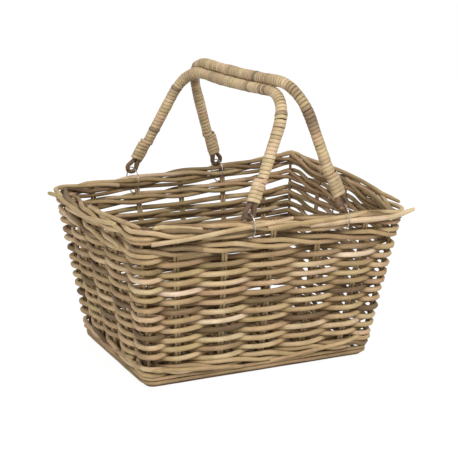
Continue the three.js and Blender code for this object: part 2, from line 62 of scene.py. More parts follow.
def makeCamera(settings):
    data = bpy.data.cameras.new("photoCamera")
    data.lens, data.sensor_width = settings["lens"], settings["sensor"]
    data.clip_start, data.clip_end = settings["clip"]
    place = (settings[key] for key in ("aim", "azimuth", "elevation", "distance"))
    scene.camera = standOff("photoCamera", data, *place)


makeCamera(cameraSettings)

# The wall in millimetres, as in the solid model: sizes over the rods, then rods, pairs and gaps
wall = {
    "rimLength": 417, "rimWidth": 358, "baseLength": 358, "baseWidth": 262,
    "height": 235.5, "cornerRadius": 11, "twist": 7, "peakLift": 9, "endBulge": 9, "endArch": 5,
    "longPairs": 5, "shortPairs": 3, "longShare": 0.74, "shortShare": 0.487,
    "stake": 4.2, "cornerStake": 4.4, "weaver": 6.5, "border": 6.5, "baseWale": 6.5, "foot": 5.2,
    "gap": 0.35, "bendAllowance": 0.9, "ropeGap": 1, "baseWaleLift": 2.5,
    "ringSlot": 3.6, "ringSink": 0.15, "butt": 0.02,
}
gap, butt = wall["gap"], wall["butt"]
stakeRadius, weaverRadius, borderRadius = wall["stake"] / 2, wall["weaver"] / 2, wall["border"] / 2
weaveReach = stakeRadius + weaverRadius + gap + wall["bendAllowance"]
wallDepth = weaveReach + weaverRadius
quarterTurns = np.arange(4) * math.pi / 2
outwardOf = np.stack([np.sin(quarterTurns), -np.cos(quarterTurns)], 1)
forwardOf = np.stack([np.cos(quarterTurns), np.sin(quarterTurns)], 1)
upWay = np.array([0.0, 0.0, 1.0])


# Half length and half width of the stake line: a straight blend from the foot to the rim
def halfSizes(z):
    rise = np.asarray(z, float) / wall["height"]
    length = wall["baseLength"] + (wall["rimLength"] - wall["baseLength"]) * rise
    width = wall["baseWidth"] + (wall["rimWidth"] - wall["baseWidth"]) * rise
    return length / 2 - wallDepth, width / 2 - wallDepth


# A point on a side: so many pair spacings along it, and out from the stake line
def placeOnSide(side, step, z, out):
    isLong = side % 2 == 0
    length, width = halfSizes(z)
    share = np.where(isLong, wall["longShare"], wall["shortShare"])
    outermost = (np.where(isLong, wall["longPairs"], wall["shortPairs"]) - 1) / 2
    across = np.where(isLong, width, length) + out
    ahead = np.where(isLong, length, width) * share * step / outermost
    return outwardOf[side] * across[:, None] + forwardOf[side] * ahead[:, None]


# A point on the corner after a side: an arc about the corner's centre, by its share of a quarter turn
def placeOnCorner(side, share, z, out):
    isLong = side % 2 == 0
    length, width = halfSizes(z)
    angle = share * math.pi / 2
    reach = wall["cornerRadius"] + out
    across = np.where(isLong, width, length) - wall["cornerRadius"] + reach * np.cos(angle)
    ahead = np.where(isLong, length, width) - wall["cornerRadius"] + reach * np.sin(angle)
    return outwardOf[side] * across[:, None] + forwardOf[side] * ahead[:, None]


# Posts round the basket: the pairs of each side, then the start, middle and end of its corner. Each has its
# side, whether it is on the corner, its place there, and whether a stake stands at it
posts = []
for side in range(4):
    pairs = wall["longPairs"] if side % 2 == 0 else wall["shortPairs"]
    posts += [(side, False, step - (pairs - 1) / 2, True) for step in range(pairs)]
    posts += [(side, True, share, share == 0.5) for share in (0, 0.5, 1)]
postSide, postIsCorner, postValue, postIsStake = (np.array(column) for column in zip(*posts))


def placePost(i, z, out):
    onSide = placeOnSide(postSide[i], postValue[i], z, out)
    onCorner = placeOnCorner(postSide[i], postValue[i], z, out)
    return np.where(postIsCorner[i][:, None], onCorner, onSide)


# Stations count the stakes round the wall. A post between two stakes has its share of the way, at the rim
stationCount = int(postIsStake.sum())
everyPost = np.arange(len(postSide))
atRim = placePost(everyPost, np.full(len(everyPost), wall["height"], float), np.zeros(len(everyPost)))
toBefore = np.linalg.norm(atRim - np.roll(atRim, 1, 0), axis=1)
toAfter = np.linalg.norm(atRim - np.roll(atRim, -1, 0), axis=1)
postStation = np.cumsum(postIsStake) - 1.0
postStation = np.where(postIsStake, postStation, postStation + toBefore / (toBefore + toAfter))


# The warp of the rim, fading to nothing at the ground. The place on the stake line, from -1 to 1 each way,
# gives: the twist (along times across), the peak (its cube, back right only) and the ends' bulge and arch
# (along times one minus across squared, the arch on the right end only)
def warp(points):
    length, width = halfSizes(points[:, 2])
    out = np.maximum(np.abs(points[:, 0]) / length, np.abs(points[:, 1]) / width)
    along, across = points[:, 0] / (length * out), points[:, 1] / (width * out)
    corner = along * across
    peak = np.where(along > 0, np.maximum(0, corner) ** 3, 0)
    end = along * (1 - across ** 2)
    rise = points[:, 2] / wall["height"]
    warped = points.copy()
    arch = wall["endArch"] * np.maximum(0, end)
    warped[:, 0] += wall["endBulge"] * end * rise
    warped[:, 2] += (wall["twist"] * corner + wall["peakLift"] * peak + arch) * rise
    return warped


# A point of the wall at any station: a straight blend between two posts, or an arc on a corner
def wallPoint(station, z, out):
    station, z, out = np.broadcast_arrays(np.asarray(station, float), z, out)
    z, out = z.astype(float), out.astype(float)
    lap = np.mod(station, stationCount)
    i = np.searchsorted(postStation, lap, side="right") - 1
    j = (i + 1) % len(postSide)
    end = np.where(j == 0, stationCount, postStation[j])
    share = (lap - postStation[i]) / (end - postStation[i])
    here = placePost(i, z, out)
    flat = here + (placePost(j, z, out) - here) * share[:, None]
    arc = placeOnCorner(postSide[i], postValue[i] + share / 2, z, out)
    xy = np.where((postIsCorner[i] & postIsCorner[j])[:, None], arc, flat)
    return warp(np.column_stack([xy, z]))


# A value given at each whole station and eased between: first times cos squared, next times sin squared
def easeBetween(station, values):
    whole = np.floor(station).astype(int)
    ease = np.sin((station - whole) * math.pi / 2) ** 2
    return values[whole % len(values)] * (1 - ease) + values[(whole + 1) % len(values)] * ease


# Grows from nothing to one over the last stretch before a station, by three squares minus two cubes
def nearing(station, end, stretch):
    share = np.clip((station - end + stretch) / stretch, 0, 1)
    return share * share * (3 - 2 * share)


def unit(vectors):
    return vectors / np.maximum(np.linalg.norm(vectors, axis=-1, keepdims=True), 1e-12)


# A start and so much of each direction, for one amount or for many
def reachOut(start, *parts):
    return sum((np.multiply.outer(amount, way) for amount, way in parts), start)


# Distance travelled at each point of a line
def travelled(points):
    return np.concatenate([[0], np.cumsum(np.linalg.norm(np.diff(points, axis=0), axis=1))])


# A line read off at given distances along it
def readLine(points, at):
    length = travelled(points)
    return np.column_stack([np.interp(at, length, points[:, c]) for c in range(3)])


# Points of a line, evenly spaced along its length
def evenly(points, step):
    length = travelled(points)[-1]
    return readLine(points, np.linspace(0, length, max(3, int(round(length / step)) + 1)))


# A straight run from one point to another, or to just before it
def straight(first, last, count, endpoint=True):
    return first + (last - first) * np.linspace(0, 1, count, endpoint=endpoint)[:, None]


# A smooth line through given points: each stretch is a Catmull-Rom cubic of its four neighbours
def smoothLine(points, perStretch):
    p = np.vstack([2 * points[0] - points[1], points, 2 * points[-1] - points[-2]])
    t = np.linspace(0, 1, perStretch, endpoint=False)[:, None]
    a, b, c, d = (p[k:len(p) - 3 + k][:, None, :] for k in range(4))
    line = b + 0.5 * t * (c - a) + t ** 2 * (a - 2.5 * b + 2 * c - 0.5 * d)
    line = line + t ** 3 * (-0.5 * a + 1.5 * b - 1.5 * c + 0.5 * d)
    return np.vstack([line.reshape(-1, 3), points[-1:]])


# A rounded section with so many corners: a superellipse, power 2 is round and higher is squarer
def roundSection(corners=10, power=2.0):
    angle = 2 * math.pi * np.arange(corners) / corners
    c, s = np.cos(angle), np.sin(angle)
    scale = (np.abs(c) ** power + np.abs(s) ** power) ** (-1 / power)
    return np.column_stack([c * scale, s * scale])


# Smooth noise along a line: random values at even knots, joined by three squares minus two cubes
def wander(rng, count, knots, size):
    values = rng.normal(0, size, knots + 1)
    at = np.linspace(0, knots - 1e-6, count)
    whole = at.astype(int)
    t = at - whole
    ease = t * t * (3 - 2 * t)
    return values[whole] * (1 - ease) + values[whole + 1] * ease


# A tone that wanders along a rod, and a size that does
def toneAlong(rng, count, tone, knots, size):
    return np.clip(tone + wander(rng, count, knots, size), 0, 1)


def unevenAlong(rng, count, radius, knots, size):
    return radius * (1 + wander(rng, count, knots, size))


def tube(points, radius, reference, section=None, across=None, tone=0.5, paintedShade=0.0, away=1.0):
    # Rings carried along a path: point + section x * radius * normal + section y * across * side,
    # where the normal is the reference made square to the path. A short bevel rounds both cut ends.
    # The painted shade, darkening rods deep in the weave, is full on the side towards the wall's outside and
    # a given share of it on the other.
    bevelLength, bevelDepth = 0.25, 0.175    # shares of the radius
    section = roundSection() if section is None else section
    count = len(points)
    radius, tone, paintedShade = (np.broadcast_to(value, count) for value in (radius, tone, paintedShade))
    across = radius if across is None else np.broadcast_to(across, count)
    tangent = unit(np.gradient(points, axis=0))
    ends = ((0, 1), (-1, -2))
    first, last = (points[a] + unit(points[b] - points[a]) * radius[a] * bevelLength for a, b in ends)
    points = np.vstack([points[:1], first, points[1:-1], last, points[-1:]])
    order = np.concatenate([[0], np.arange(count), [count - 1]])
    shrink = np.ones(len(order))
    shrink[[0, -1]] = 1 - bevelDepth
    radius, across, tangent = radius[order] * shrink, across[order] * shrink, tangent[order]
    reference = np.broadcast_to(reference, (count, 3))[order]
    normal = unit(reference - tangent * np.sum(reference * tangent, 1, keepdims=True))
    side = np.cross(tangent, normal)
    rings = points[:, None] + normal[:, None] * (radius[:, None] * section[:, 0])[:, :, None]
    rings = rings + side[:, None] * (across[:, None] * section[:, 1])[:, :, None]
    turn = 2 * math.pi * np.arange(len(section)) / len(section)
    facing = away + (1 - away) * (0.5 + 0.5 * np.sin(turn))
    shade = (paintedShade[order][:, None] * facing).ravel()
    return {"rings": rings, "length": travelled(points), "tone": tone[order], "paintedShade": shade}


# Joins tubes into one mesh: a quad between neighbouring corners of neighbouring rings, and a cap at each end.
# The map runs along each tube in metres, shifted from tube to tube, and once round it
def meshOf(name, tubes):
    vertices, corners, sizes, uvs, tones, paintedShades = [], [], [], [], [], []
    vertexCount, shiftStep = 0, 0.37
    for number, part in enumerate(tubes):
        rows, width = part["rings"].shape[:2]
        i, k = (grid.ravel() for grid in np.meshgrid(np.arange(rows - 1), np.arange(width), indexing="ij"))
        here, above, after = vertexCount + i * width, vertexCount + (i + 1) * width, (k + 1) % width
        ring = vertexCount + np.arange(width)
        quads = np.column_stack([here + k, here + after, above + after, above + k])
        corners += [quads.ravel(), ring[::-1], ring + (rows - 1) * width]
        sizes += [np.full(len(i), 4), [width, width]]
        u = part["length"] / 1000 + number * shiftStep
        quadU = np.column_stack([u[i], u[i], u[i + 1], u[i + 1]])
        quadV = np.column_stack([k, k + 1, k + 1, k]) / width
        uvs.append(np.column_stack([quadU.ravel(), quadV.ravel()]))
        uvs += [np.column_stack([np.full(width, end), np.linspace(0, 1, width)]) for end in u[[0, -1]]]
        vertices.append(part["rings"].reshape(-1, 3) / 1000)
        tones.append(np.repeat(part["tone"], width))
        paintedShades.append(part["paintedShade"])
        vertexCount += rows * width
    corners, sizes = np.concatenate(corners), np.concatenate(sizes)
    mesh = bpy.data.meshes.new(name)
    mesh.vertices.add(vertexCount)
    mesh.vertices.foreach_set("co", np.concatenate(vertices).astype(np.float32).ravel())
    mesh.loops.add(len(corners))
    mesh.loops.foreach_set("vertex_index", corners.astype(np.int32))
    mesh.polygons.add(len(sizes))
    mesh.polygons.foreach_set("loop_start", (np.cumsum(sizes) - sizes).astype(np.int32))
    mesh.update(calc_edges=True)
    uvLayer = mesh.uv_layers.new(name="alongRod")
    uvLayer.data.foreach_set("uv", np.concatenate(uvs).astype(np.float32).ravel())
    # Per vertex: the rod's tone, and its share of painted shade
    for title, values in (("tone", tones), ("paintedShade", paintedShades)):
        layer = mesh.attributes.new(title, "FLOAT", "POINT")
        layer.data.foreach_set("value", np.concatenate(values).astype(np.float32))
    mesh.validate()
    mesh.shade_smooth()
    return mesh


# The CAD node with a piece's name, as cross_stake_1_a for crossStake1a
def nodeName(name):
    return re.sub("([A-Z0-9]|(?<=[0-9])[a-z])", r"_\1", name).lower()


def addPiece(name, tubes, material, body="basket_body", node=None):
    piece = bpy.data.objects.new(name, meshOf(name, tubes))
    scene.collection.objects.link(piece)
    piece.data.materials.append(material)
    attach(piece, body)
    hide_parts(node or nodeName(name))


# Materials
def newTree(name):
    material = bpy.data.materials.new(name)
    material.use_nodes = True
    tree = material.node_tree
    return material, tree, tree.nodes["Principled BSDF"]


# Links a socket to an input, or writes a plain value there
def fill(tree, entry, value):
    if isinstance(value, bpy.types.NodeSocket):
        tree.links.new(value, entry)
    else:
        entry.default_value = value


def addNode(tree, kind, values=()):
    node = tree.nodes.new("ShaderNode" + kind)
    for name, value in dict(values).items():
        fill(tree, node.inputs[name], value)
    return node


def noiseOn(tree, vector, scale, size, detail, roughness):
    place = addNode(tree, "Mapping", {"Vector": vector, "Scale": scale}).outputs["Vector"]
    values = {"Vector": place, "Scale": size, "Detail": detail, "Roughness": roughness}
    return addNode(tree, "TexNoise", values).outputs["Fac"]


def rampOn(tree, value, stops):
    ramp = addNode(tree, "ValToRGB", {"Fac": value})
    elements = ramp.color_ramp.elements
    while len(elements) < len(stops):
        elements.new(0.5)
    for element, (position, color) in zip(elements, stops):
        element.position, element.color = position, (*color, 1)
    return ramp.outputs["Color"]


def mixColors(tree, kind, factor, a, b):
    mix = tree.nodes.new("ShaderNodeMix")
    mix.data_type, mix.blend_type = "RGBA", kind
    for entry, value in zip([s for s in mix.inputs if s.enabled], (factor, a, b)):
        fill(tree, entry, (*value, 1) if isinstance(value, tuple) else value)
    return [s for s in mix.outputs if s.enabled][0]


def mathOn(tree, operation, *values):
    node = addNode(tree, "Math", enumerate(values))
    node.operation, node.use_clamp = operation, operation == "MULTIPLY_ADD"
    return node.outputs[0]


def addBump(tree, shader, height, strength, distance):
    bump = addNode(tree, "Bump", {"Height": height, "Strength": strength, "Distance": distance})
    tree.links.new(bump.outputs["Normal"], shader.inputs["Normal"])


def readAttribute(tree, name):
    node = tree.nodes.new("ShaderNodeAttribute")
    node.attribute_name = name
    return node.outputs["Fac"]


# Stops whose colours are given as a screen's 0 to 255, turned into light
def screenStops(stops):
    values = np.array([color for _, color in stops]) / 255
    light = np.where(values <= 0.04045, values / 12.92, ((values + 0.055) / 1.055) ** 2.4)
    return [(at, tuple(map(float, color))) for (at, _), color in zip(stops, light)]


# Darkening in the seams of a wound band: full at the band's two edges, more of it where the clouds are dark.
# The edges are where the sine of the turn round the section nears one
def seamShare(tree, uv, clouds, settings):
    turn = mathOn(tree, "MULTIPLY", addNode(tree, "SeparateXYZ", {0: uv}).outputs[1], 2 * math.pi)
    edge = mathOn(tree, "ABSOLUTE", mathOn(tree, "SINE", turn))
    edge = mathOn(tree, "POWER", edge, settings["seamPower"])
    amount = mathOn(tree, "MULTIPLY_ADD", clouds, *settings["seamClouds"])
    return mathOn(tree, "MULTIPLY", mathOn(tree, "MULTIPLY", edge, amount), settings["seam"])


# Rattan skin: one tone per rod, changing tints, long fibres along it, cloudy weathering and dark ticks, and
# painted shade where the rods lie deep in the weave
def makeRattan(name, settings):
    material, tree, shader = newTree(name)
    along = tree.nodes.new("ShaderNodeUVMap")
    along.uv_map = "alongRod"
    uv, place = along.outputs["UV"], addNode(tree, "TexCoord").outputs["Object"]

    def shade(color, share, value, stops):
        return mixColors(tree, "MULTIPLY", settings[share], color, rampOn(tree, value, settings[stops]))

    color = rampOn(tree, readAttribute(tree, "tone"), screenStops(settings["tones"]))
    tints = noiseOn(tree, uv, (settings["tintLength"], 0, 1), 1.0, 1.0, 0.5)
    color = shade(color, "tintShare", tints, "tints")
    fibres = noiseOn(tree, uv, (settings["fibreLength"], settings["fibreCount"], 1), 1.0, 4.0, 0.6)
    color = shade(color, "fibreShare", fibres, "fibres")
    clouds = noiseOn(tree, place, (1, 1, 1), settings["cloudSize"], 4.0, 0.6)
    color = shade(color, "cloudShare", clouds, "clouds")
    ticks = noiseOn(tree, uv, (settings["tickLength"], settings["tickCount"], 1), 1.0, 2.0, 0.5)
    color = shade(color, "tickShare", ticks, "ticks")
    if settings["seam"] > 0:
        seamDarkening = seamShare(tree, uv, clouds, settings)
        color = mixColors(tree, "MULTIPLY", seamDarkening, color, settings["seamShade"])
    # Painted shade: the colour is darkened by the share of shade each vertex carries, for rods deep in the
    # weave
    withPaintedShade = mixColors(tree, "MULTIPLY", 1.0, color, settings["paintedShadeColor"])
    color = mixColors(tree, "MIX", readAttribute(tree, "paintedShade"), color, withPaintedShade)
    least, most = settings["roughness"]
    rough = addNode(tree, "MapRange", {"Value": fibres, "To Min": least, "To Max": most})
    tree.links.new(color, shader.inputs["Base Color"])
    tree.links.new(rough.outputs["Result"], shader.inputs["Roughness"])
    shader.inputs["Specular IOR Level"].default_value = settings["gloss"]
    addBump(tree, shader, fibres, settings["bump"], settings["bumpDepth"])
    return material


# Colours of the whole palette as a screen shows them; the other colours multiply those
rattanSettings = {
    "tones": [
        (0.0, (104, 84, 60)), (0.2, (139, 117, 87)), (0.42, (169, 144, 108)),
        (0.6, (184, 160, 122)), (0.8, (197, 175, 144)), (1.0, (217, 194, 170)),
    ],
    "tintLength": 5, "tintShare": 1.0,
    "tints": [(0.36, (0.93, 0.97, 0.88)), (0.5, (1.0, 1.0, 1.0)), (0.64, (1.02, 0.96, 1.02))],
    "fibreLength": 26, "fibreCount": 22, "fibreShare": 0.75,
    "fibres": [(0.32, (0.62, 0.6, 0.57)), (0.5, (0.95, 0.95, 0.95)), (0.7, (1.12, 1.1, 1.06))],
    "cloudSize": 34, "cloudShare": 0.7, "clouds": [(0.35, (0.68, 0.64, 0.58)), (0.6, (1.0, 1.0, 1.0))],
    "tickLength": 240, "tickCount": 9, "tickShare": 0.5,
    "ticks": [(0.26, (0.35, 0.28, 0.2)), (0.34, (1.0, 1.0, 1.0))],
    "seam": 0, "seamShade": (0.42, 0.34, 0.25), "seamPower": 3.0, "seamClouds": (-2.8, 2.25),
    # the colour of the painted shade deep in the weave
    "paintedShadeColor": (0.48, 0.41, 0.32), "roughness": (0.55, 0.75), "gloss": 0.25,
    "bump": 0.4, "bumpDepth": 0.0006,
}
rattan = makeRattan("rattan", rattanSettings)
stakeMatter = makeRattan("rattanStake", {
    **rattanSettings, "clouds": [(0.35, (0.6, 0.55, 0.48)), (0.6, (1.0, 1.0, 1.0))],
})
footMatter = makeRattan("rattanFoot", {
    **rattanSettings, "clouds": [(0.35, (0.62, 0.6, 0.58)), (0.6, (1.0, 1.0, 1.0))], "gloss": 0.2,
})
caneMatter = makeRattan("rattanCane", {
    **rattanSettings, "gloss": 0.4,
    "tones": [(0.0, (70, 52, 38)), (0.5, (104, 80, 60)), (1.0, (172, 136, 96))],
})
peelMatter = makeRattan("rattanPeel", {
    **rattanSettings,
    "tones": [(0.0, (126, 107, 82)), (0.5, (188, 165, 129)), (1.0, (212, 194, 161))],
    "fibreLength": 60, "fibreCount": 14, "fibreShare": 0.6, "cloudSize": 22, "cloudShare": 0.75,
    "tickLength": 90, "tickCount": 7, "tickShare": 0.7, "seam": 0.5,
    "paintedShadeColor": (0.66, 0.62, 0.58), "roughness": (0.42, 0.6), "gloss": 0.4, "bump": 0.3,
})

# Aged wire: dull grey metal with brown spots
wireSettings = {
    "spotSize": 420.0, "colors": [(0.42, (120, 104, 92)), (0.56, (176, 172, 168))],
    "roughness": [(0.4, (0.6, 0.6, 0.6)), (0.6, (0.32, 0.32, 0.32))],
    "metal": 0.85, "bump": 0.2, "bumpDepth": 0.0002,
}


def makeWire(settings):
    material, tree, shader = newTree("agedWire")
    place = addNode(tree, "TexCoord").outputs["Object"]
    spots = noiseOn(tree, place, (1, 1, 1), settings["spotSize"], 3.0, 0.6)
    tree.links.new(rampOn(tree, spots, screenStops(settings["colors"])), shader.inputs["Base Color"])
    tree.links.new(rampOn(tree, spots, settings["roughness"]), shader.inputs["Roughness"])
    shader.inputs["Metallic"].default_value = settings["metal"]
    addBump(tree, shader, spots, settings["bump"], settings["bumpDepth"])
    return material


wireMatter = makeWire(wireSettings)
print("materials made")

# Heights in the wall, from the ground up. The solid model's foot rod has six sides
footHeight = wall["foot"] * math.cos(math.pi / 6)
crossRun = footHeight + gap + stakeRadius
lengthRun = crossRun + wall["stake"] + gap


# How far the rods of a rope lie out from the stake line, and rise and fall
def ropeSizes(diameter):
    reach = diameter / 2 + stakeRadius + gap + wall["bendAllowance"]
    apart = diameter + wall["ropeGap"]
    return reach, apart * reach / math.sqrt(4 * reach * reach - apart * apart)


borderHalf = ropeSizes(wall["border"])[1] + borderRadius
waleHalf = ropeSizes(wall["baseWale"])[1] + wall["baseWale"] / 2
baseWaleMiddle = lengthRun + stakeRadius + gap + wall["baseWaleLift"] + waleHalf
weaveBottom = baseWaleMiddle + waleHalf + gap
borderMiddle = wall["height"] - borderHalf
underRod = borderMiddle - borderHalf - gap - borderRadius
slotMiddle = underRod - borderRadius - wall["ringSlot"] / 2
lowerWaleMiddle = slotMiddle - wall["ringSlot"] / 2 - borderHalf
weaveTop = lowerWaleMiddle - borderHalf - gap

# Side weave: two weavers, each of three rods that are pieced from shorter strands behind the stakes. An
# accent is a pale stretch: its first and last station, and its height
weave = {
    "samples": 12, "outerSag": 1.5, "innerSag": -0.3, "sagSpread": 0.6, "wander": 0.5, "reachSpread": 0.45,
    "strand": (7, 19), "shortest": 3, "past": 0.1, "split": 0.05,
    "thickness": (0.97, 1.1), "unevenness": 0.03, "tall": 1.12,
    "tones": (0.08, 0.3, 0.44, 0.56, 0.68, 0.84), "toneWeights": (0.14, 0.22, 0.27, 0.2, 0.12, 0.05),
    "toneSpread": 0.04, "toneWander": 0.06, "paintedShadeFrom": 1.5, "away": 0.4, "sections": 10,
    "accents": ((-0.9, 0.9, 141), (0.05, 1.95, 190), (0.05, 1.95, 92), (3.05, 4.95, 172)),
    "accentTone": 1.0, "accentReach": 3.4,
}
lowestRow, highestRow = weaveBottom + weaverRadius, weaveTop - weaverRadius
turns = math.floor((highestRow - lowestRow) / (2 * (wall["weaver"] + gap)))
risePerTurn = (highestRow - lowestRow) / turns


# A rod of the wall. Its painted shade is none outside the stake line and full on the inside
def wallRod(station, height, out, radius, tone, settings, tall=1.0):
    paintedShade = np.clip(0.5 - out / (2 * settings["paintedShadeFrom"]), 0, 1)
    section = roundSection(settings["sections"])
    line = wallPoint(station, height, out)
    return tube(line, radius * tall, upWay, section, radius, tone, paintedShade, settings["away"])


# A value for each station, with a random part of its own
def scattered(rng, values, spread):
    return values + rng.normal(0, spread, len(values))


# One strand of the weave: at each stake it lies out or in, sagging where it is out, eased between
def weaveStrand(rng, start, end, outValues, riseValues, heightAt):
    count, knots = int((end - start) * weave["samples"]) + 2, max(3, int(end - start))
    station = np.linspace(start, end, count)
    out = easeBetween(station, outValues)
    height = heightAt(station) + easeBetween(station, riseValues)
    height = height + wander(rng, count, knots, weave["wander"])
    thickness = rng.uniform(*weave["thickness"])
    radius = unevenAlong(rng, count, weaverRadius * thickness, knots * 2, weave["unevenness"])
    tone = rng.choice(weave["tones"], p=weave["toneWeights"]) + rng.normal(0, weave["toneSpread"])
    tone = toneAlong(rng, count, tone, knots * 2, weave["toneWander"])
    for first, last, z in weave["accents"]:
        inWindow = np.mod(station - first, stationCount) < last - first
        isPale = inWindow & (np.abs(heightAt(station) - z) < weave["accentReach"])
        tone = np.where(isPale, weave["accentTone"], tone)
    return wallRod(station, height, out, radius, tone, weave, weave["tall"])


def addWeaver(title, first, last, zeroStation, insideParity, seed):
    rng = np.random.default_rng(seed)
    isInside = np.arange(12 * stationCount) % 2 == insideParity    # more laps than either weaver makes
    outValues = scattered(rng, np.where(isInside, -weaveReach, weaveReach), weave["reachSpread"])
    riseValues = np.where(isInside, weave["innerSag"], -weave["outerSag"])
    riseValues = scattered(rng, riseValues, weave["sagSpread"])

    def heightAt(station):
        return lowestRow + risePerTurn * (station - zeroStation) / stationCount

    # Split at the thirds, an even number of stations on, so that the rods meet behind a stake
    joints = [first] + [first + 2 * round((last - first) * i / 6) for i in (1, 2)] + [last]
    for i, storey in enumerate(("Lower", "Middle", "Upper")):
        start, finish, strands = joints[i] + butt, joints[i + 1] - butt, []
        while start < finish:
            end = 2 * round((start + rng.uniform(*weave["strand"])) / 2) + insideParity + weave["past"]
            end = finish if joints[i + 1] - end < weave["shortest"] else end
            strands.append(weaveStrand(rng, start, end, outValues, riseValues, heightAt))
            start = end + weave["split"]
        addPiece(title + storey, strands, rattan)


half = stationCount // 2
addWeaver("weaverA", 0, turns * stationCount, 0, 0, 21)
addWeaver("weaverB", half + 1, turns * stationCount + half - 1, half, 1, 22)
print("side weave made")

# Ropes: four rods, each outside high, outside low, inside low and inside high in turn. Each is pieced
# from strands: the end of one stands out over the start of the next
ropeSettings = {
    "samples": 12, "wander": 0.55, "tones": (0.24, 0.4, 0.5, 0.62), "toneSpread": 0.12, "toneWander": 0.09,
    "sections": 12, "strand": (4, 9), "shortest": 2, "thickness": (0.95, 1.13), "unevenness": 0.03,
    "reachSpread": 0.5, "riseSpread": 0.7, "lower": 0, "overlap": 0.45, "lift": 1.5, "tuck": 1.2,
    "paintedShadeFrom": 3.0, "away": 0.4, "firstJoin": 6,
}
borderRope = {
    **ropeSettings, "wander": 0.4, "thickness": (0.95, 1.07), "riseSpread": 0.4, "lift": 1.2, "lower": 0.5,
}
baseRope = {**ropeSettings, "tones": (0.2, 0.34, 0.42, 0.5), "riseSpread": 0.5, "strand": (5, 11)}


def ropeStrand(rng, start, end, isFirst, isLast, outValues, riseValues, middle, diameter, tone, settings):
    overlap = settings["overlap"]
    before = 0 if isFirst else overlap
    count, knots = int((end - start + before) * settings["samples"]) + 3, max(3, int(2 * (end - start)))
    station = np.linspace(start - before, end, count)
    out = easeBetween(station, outValues)
    if not isLast:
        out = out + settings["lift"] * nearing(station, end, 2 * overlap)
    if not isFirst:
        out = out - settings["tuck"] * nearing(-station, -(start - before), 3 * overlap)
    height = middle - settings["lower"] + easeBetween(station, riseValues)
    height = height + wander(rng, count, knots, settings["wander"])
    tone = tone + rng.normal(0, settings["toneSpread"])
    tone = toneAlong(rng, count, tone, knots, settings["toneWander"])
    thickness = rng.uniform(*settings["thickness"])
    radius = unevenAlong(rng, count, diameter / 2 * thickness, knots, settings["unevenness"])
    return wallRod(station, height, out, radius, tone, settings)


def addRope(title, middle, diameter, seed, settings, laid=()):
    rng = np.random.default_rng(seed)
    reach, rise = ropeSizes(diameter)
    for lead in range(4):
        turnOf = (np.arange(3 * stationCount) + lead) % 4
        outValues = scattered(rng, np.where(turnOf < 2, reach, -reach), settings["reachSpread"])
        isHigh = (turnOf == 0) | (turnOf == 3)
        riseValues = scattered(rng, np.where(isHigh, rise, -rise), settings["riseSpread"])
        join = settings["firstJoin"] - lead
        first, last = join + butt, join + stationCount - butt
        start, strands = first, []
        while start < last:
            end = start + rng.uniform(*settings["strand"])
            end = last if last - end < settings["shortest"] else end
            strands.append(ropeStrand(rng, start, end, start == first, end == last, outValues, riseValues,
                                      middle, diameter, settings["tones"][lead], settings))
            start = end
        strands += [laidStrand(rng, middle, *strand) for strand in laid[lead::4]]
        addPiece(f"{title}{lead + 1}", strands, rattan)


# A strand laid over a rope: a smooth line through places given as station, height over the rope's middle and
# reach out of the stake line, with a straight tip that points past its end and thins towards it
laidSettings = {
    "perPlace": 10, "tipPoints": 9, "knots": 8, "unevenness": 0.03, "toneWander": 0.05, "taper": 0.75,
}


def laidStrand(rng, middle, places, tip, tone, thick=1.0, thin=0.8, paintedShade=0.0):
    places = smoothLine(np.array(places, float), laidSettings["perPlace"])
    line = wallPoint(places[:, 0] % stationCount, middle + places[:, 1], places[:, 2])
    tipLine = reachOut(line[-1], (np.linspace(0, 1, laidSettings["tipPoints"])[1:], np.array(tip, float)))
    line = smoothLine(np.vstack([line[::3], tipLine]), 4)
    count, knots = len(line), laidSettings["knots"]
    taper = np.interp(np.linspace(0, 1, count), [0, laidSettings["taper"], 1], [1, 1, thin])
    radius = unevenAlong(rng, count, borderRadius * thick * taper, knots, laidSettings["unevenness"])
    tone = toneAlong(rng, count, tone, knots, laidSettings["toneWander"])
    return tube(line, radius, upWay, tone=tone, paintedShade=paintedShade)


# Places, tip and tone, then thickness, thinning and painted shade where they aren't the usual ones
laidStrands = [
    ([(2.7, -4, 8.5), (3.6, -2, 10.5), (4.3, -2, 11), (4.75, -1, 11)], (34, -1, 8), 0.84, 1.2, 0.6),
    ([(17.7, -6, 8), (16.8, -3, 10.5), (16.0, -1, 10), (15.35, 0, 9)], (-8, 22, 0), 0.55, 1.0, 0.75),
    ([(8.8, 3, 4), (7.8, 8, 4), (6.7, 9.5, 4), (5.8, 8, 5)], (5, -42, -4), 0.46, 1.0, 0.7),
    ([(6.9, 4, -5), (6.1, 6, -6), (5.5, 5, -8), (5.0, 1, -9)], (-7, -2, -14), 0.42, 1.0, 0.8, 0.3),
    ([(16.9, 5, -1), (17.8, 8, 1), (18.6, 9, 0)], (7, -30, -1), 0.5),
    ([(20.5, 1, 4), (20.0, 6, 3), (19.6, 8.5, 2)], (-14, -2, 0), 0.6),
    ([(19.2, -13, 9), (20.2, -9, 10.5), (21.1, -1, 11), (22.1, 5, 7)], (20, 6, 1), 0.7),
    ([(1.8, -3, 9), (2.6, 1, 11), (3.6, 5, 8)], (26, 6, 1), 0.56),
    ([(15.9, -10, 9.5), (16.9, -6, 11), (18.0, 2, 9)], (3, -30, 4), 0.6),
    ([(9.3, -12, 8), (9.9, -8, 10), (10.6, -1, 10)], (-34, -5, 5), 0.5),
    ([(13.5, -10, 8), (14.0, -5, 10.5), (14.5, 1, 10)], (-20, -5, 3), 0.64),
    ([(8.6, -12, 9), (7.6, -6, 11), (6.4, 0, 9)], (-2, -24, 3), 0.4),
]
